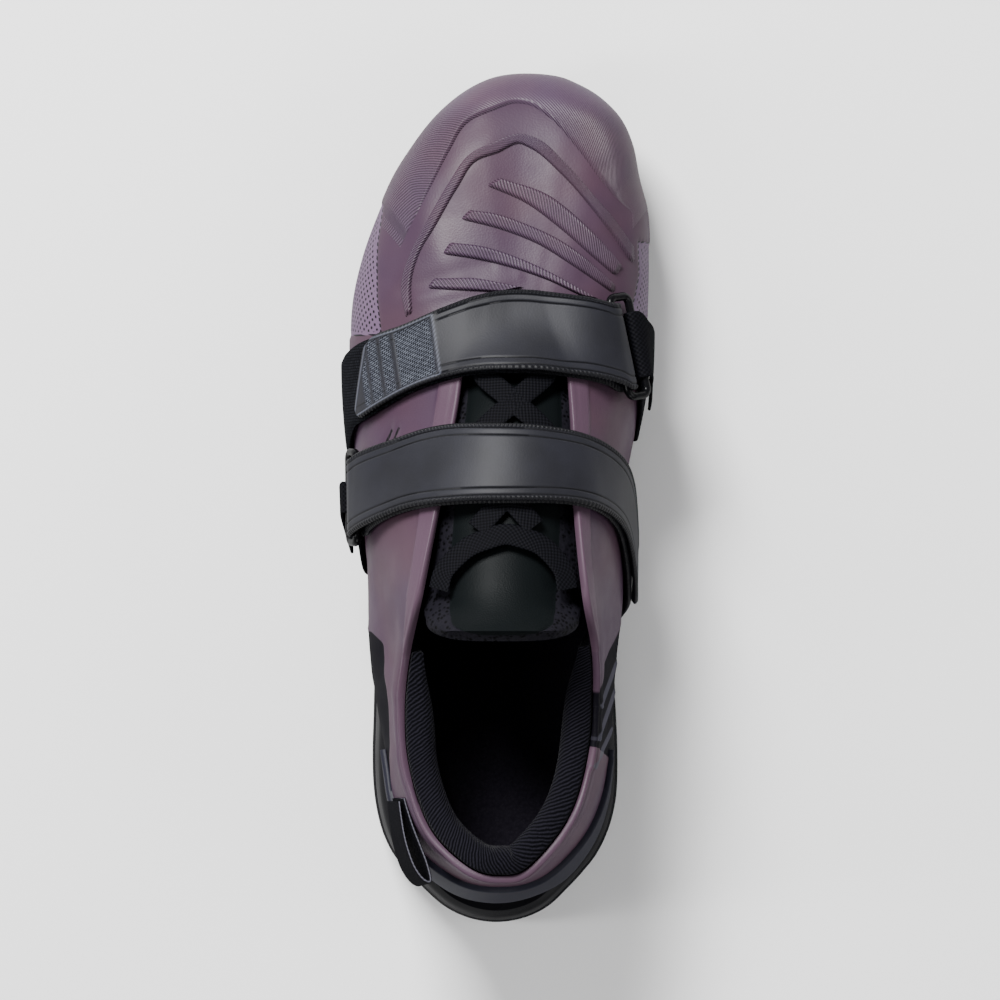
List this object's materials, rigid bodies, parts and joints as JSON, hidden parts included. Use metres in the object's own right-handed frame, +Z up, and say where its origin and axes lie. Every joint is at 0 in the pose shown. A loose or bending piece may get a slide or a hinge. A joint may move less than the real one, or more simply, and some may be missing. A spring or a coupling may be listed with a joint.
{
  "type": "weightlifting shoe",
  "caption": "Left weightlifting shoe with a raised hard heel, flat forefoot, laced throat and hook-and-loop straps folded round rings.",
  "frame": {"origin": "on the floor, under the middle of the heel", "axes": "+Z up, +Y towards the toe, +X towards the inner (medial) side of the foot"},
  "size_m": [0.1104, 0.3013, 0.1222],
  "materials": {
    "coated_leather": "satin",
    "outsole_rubber": "matte",
    "midsole_foam": "matte",
    "heel_plastic": "gloss",
    "counter_plastic": "satin",
    "knit": "matte",
    "strap_leather": "satin",
    "webbing": "matte",
    "ring_plastic": "satin"
  },
  "bodies": {
    "root": {"outsole": "outsole_rubber", "midsole": "midsole_foam", "heel_block": "heel_plastic", "insole": "knit", "upper": "coated_leather", "collar_lining": "knit", "tongue": "knit", "heel_counter": "counter_plastic", "toe_bumper": "coated_leather", "toe_band": "coated_leather", "vamp_rib_1": "coated_leather", "vamp_rib_2": "coated_leather", "vamp_rib_3": "coated_leather", "vamp_rib_4": "coated_leather", "strap_forefoot": "strap_leather", "strap_ankle": "strap_leather", "ring_forefoot": "ring_plastic", "ring_ankle": "ring_plastic", "anchor_forefoot": "webbing", "anchor_ankle": "webbing", "lace": "webbing", "pull_loop": "webbing"}
  },
  "joints": []
}
